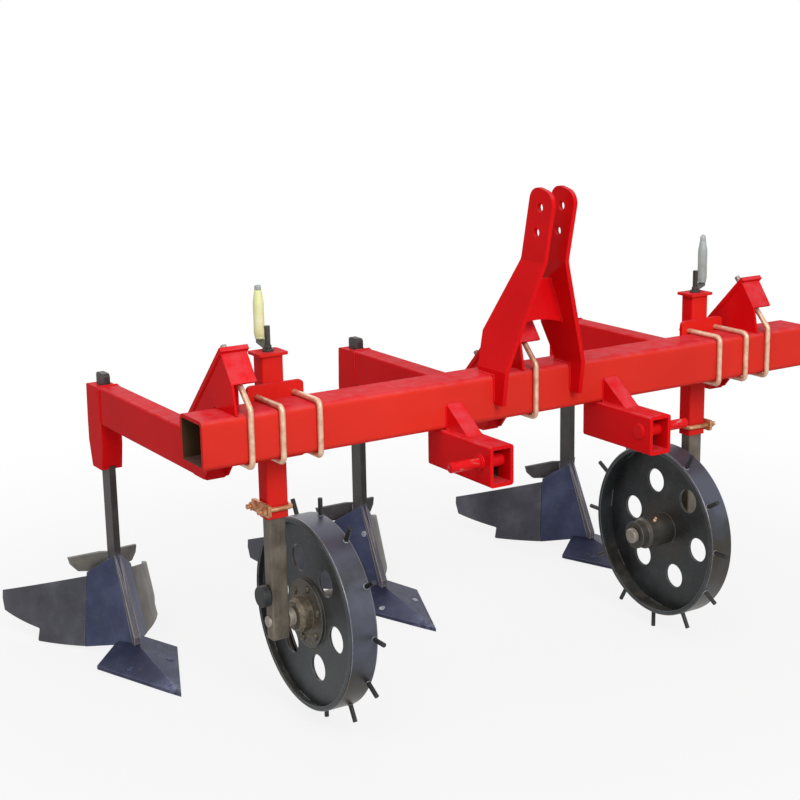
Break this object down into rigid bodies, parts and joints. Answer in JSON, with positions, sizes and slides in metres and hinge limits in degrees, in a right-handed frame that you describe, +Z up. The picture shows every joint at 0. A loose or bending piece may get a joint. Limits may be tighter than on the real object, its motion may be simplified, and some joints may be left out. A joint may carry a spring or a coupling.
{
  "type": "ridging machine",
  "caption": "Tractor-mounted ridging machine: square beam with three-point mast, clamped arms with hinged-wing ridger bodies, spiked gauge wheels on crank jacks.",
  "frame": {"origin": "on the ground plane under the share points and wheel spikes, at the middle of the machine's plan", "axes": "+X along the main beam, +Y to the rear away from the tractor, +Z up"},
  "size_m": [1.7616, 1.2189, 1.1319],
  "materials": {
    "red_paint": "sprayed gloss enamel",
    "pin_steel": "enamel, rubbed thin where the link ball turns",
    "zinc_steel": "yellow-passivated zinc plate",
    "shank_steel": "dark rolled flat bar, oiled",
    "board_steel": "blue-black rolled plate",
    "wing_steel": "blue-grey rolled plate",
    "share_steel": "hardened blue steel",
    "post_steel": "bare rolled tube with a brown bloom",
    "axle_steel": "turned steel, greased",
    "stop_rubber": "moulded",
    "wheel_steel": "thin black paint on rolled steel",
    "spike_steel": "black round bar",
    "screw_steel": "oiled dark steel",
    "grip_yellow": "smooth moulded sleeve",
    "grip_grey": "smooth moulded sleeve"
  },
  "bodies": {
    "frame": {"main_beam": "red_paint", "mast_plate_left": "red_paint", "mast_plate_right": "red_paint", "mast_web": "red_paint", "hitch_box_left": "red_paint", "hitch_box_right": "red_paint", "hitch_gussets": "red_paint", "carrier_left": "red_paint", "carrier_middle": "red_paint", "carrier_right": "red_paint", "holder_left": "red_paint", "holder_middle": "red_paint", "holder_right": "red_paint", "wheel_sleeve_left": "red_paint", "wheel_sleeve_right": "red_paint", "hitch_pins": "pin_steel", "v_bolts": "zinc_steel", "v_bolt_nuts": "zinc_steel", "u_bolts": "zinc_steel", "u_bolt_nuts": "zinc_steel", "holder_bolts": "zinc_steel", "post_locks": "zinc_steel"},
    "ridger_left": {"shank_left": "shank_steel", "mouldboards_left": "board_steel", "share_left": "share_steel", "yoke_left": "shank_steel"},
    "wing_left_left": {"wing_left_left": "wing_steel"},
    "wing_left_right": {"wing_left_right": "wing_steel"},
    "ridger_middle": {"shank_middle": "shank_steel", "mouldboards_middle": "board_steel", "share_middle": "share_steel", "yoke_middle": "shank_steel"},
    "wing_middle_left": {"wing_middle_left": "wing_steel"},
    "wing_middle_right": {"wing_middle_right": "wing_steel"},
    "ridger_right": {"shank_right": "shank_steel", "mouldboards_right": "board_steel", "share_right": "share_steel", "yoke_right": "shank_steel"},
    "wing_right_left": {"wing_right_left": "wing_steel"},
    "wing_right_right": {"wing_right_right": "wing_steel"},
    "post_left": {"wheel_post_left": "post_steel", "wheel_axle_left": "axle_steel", "post_stop_left": "stop_rubber"},
    "wheel_left": {"wheel_rim_left": "wheel_steel", "wheel_disc_left": "wheel_steel", "wheel_spikes_left": "spike_steel"},
    "crank_left": {"jack_screw_left": "screw_steel", "crank_arm_left": "screw_steel", "crank_grip_left": "grip_yellow"},
    "post_right": {"wheel_post_right": "post_steel", "wheel_axle_right": "axle_steel", "post_stop_right": "stop_rubber"},
    "wheel_right": {"wheel_rim_right": "wheel_steel", "wheel_disc_right": "wheel_steel", "wheel_spikes_right": "spike_steel"},
    "crank_right": {"jack_screw_right": "screw_steel", "crank_arm_right": "screw_steel", "crank_grip_right": "grip_grey"}
  },
  "joints": [
    {"name": "ridger_left_depth", "type": "slide", "parent": "frame", "child": "ridger_left", "axis": [0, 0, 1], "range_m": [-0.02, 0.12]},
    {"name": "wing_left_left_swing", "type": "hinge", "parent": "ridger_left", "child": "wing_left_left", "pos_m": [-0.74264, 0.35649, 0.09], "axis": [0.1308, 0.1249, 0.9835], "range_deg": [-14, 0]},
    {"name": "wing_left_right_swing", "type": "hinge", "parent": "ridger_left", "child": "wing_left_right", "pos_m": [-0.63136, 0.35649, 0.09], "axis": [-0.1308, 0.1249, 0.9835], "range_deg": [0, 14]},
    {"name": "ridger_middle_depth", "type": "slide", "parent": "frame", "child": "ridger_middle", "axis": [0, 0, 1], "range_m": [-0.02, 0.12]},
    {"name": "wing_middle_left_swing", "type": "hinge", "parent": "ridger_middle", "child": "wing_middle_left", "pos_m": [-0.05564, 0.35649, 0.09], "axis": [0.1308, 0.1249, 0.9835], "range_deg": [-14, 0]},
    {"name": "wing_middle_right_swing", "type": "hinge", "parent": "ridger_middle", "child": "wing_middle_right", "pos_m": [0.05564, 0.35649, 0.09], "axis": [-0.1308, 0.1249, 0.9835], "range_deg": [0, 14]},
    {"name": "ridger_right_depth", "type": "slide", "parent": "frame", "child": "ridger_right", "axis": [0, 0, 1], "range_m": [-0.02, 0.12]},
    {"name": "wing_right_left_swing", "type": "hinge", "parent": "ridger_right", "child": "wing_right_left", "pos_m": [0.63136, 0.35649, 0.09], "axis": [0.1308, 0.1249, 0.9835], "range_deg": [-14, 0]},
    {"name": "wing_right_right_swing", "type": "hinge", "parent": "ridger_right", "child": "wing_right_right", "pos_m": [0.74264, 0.35649, 0.09], "axis": [-0.1308, 0.1249, 0.9835], "range_deg": [0, 14]},
    {"name": "crank_left_turn", "type": "hinge", "parent": "frame", "child": "crank_left", "pos_m": [-0.576, -0.30945, 0.8], "axis": [0, 0, 1], "range_deg": [-2160, 2160]},
    {"name": "post_left_height", "type": "slide", "parent": "frame", "child": "post_left", "axis": [0, 0, 1], "range_m": [-0.048, 0.048]},
    {"name": "wheel_left_roll", "type": "hinge", "parent": "post_left", "child": "wheel_left", "pos_m": [-0.5, -0.30945, 0.248], "axis": [1, 0, 0], "continuous": true},
    {"name": "crank_right_turn", "type": "hinge", "parent": "frame", "child": "crank_right", "pos_m": [0.576, -0.30945, 0.8], "axis": [0, 0, 1], "range_deg": [-2160, 2160]},
    {"name": "post_right_height", "type": "slide", "parent": "frame", "child": "post_right", "axis": [0, 0, 1], "range_m": [-0.048, 0.048]},
    {"name": "wheel_right_roll", "type": "hinge", "parent": "post_right", "child": "wheel_right", "pos_m": [0.5, -0.30945, 0.248], "axis": [1, 0, 0], "continuous": true}
  ],
  "couplings": [
    {"joint": "crank_left_turn", "follows": "post_left_height", "rad_per_m": 785.4},
    {"joint": "crank_right_turn", "follows": "post_right_height", "rad_per_m": 785.4}
  ]
}
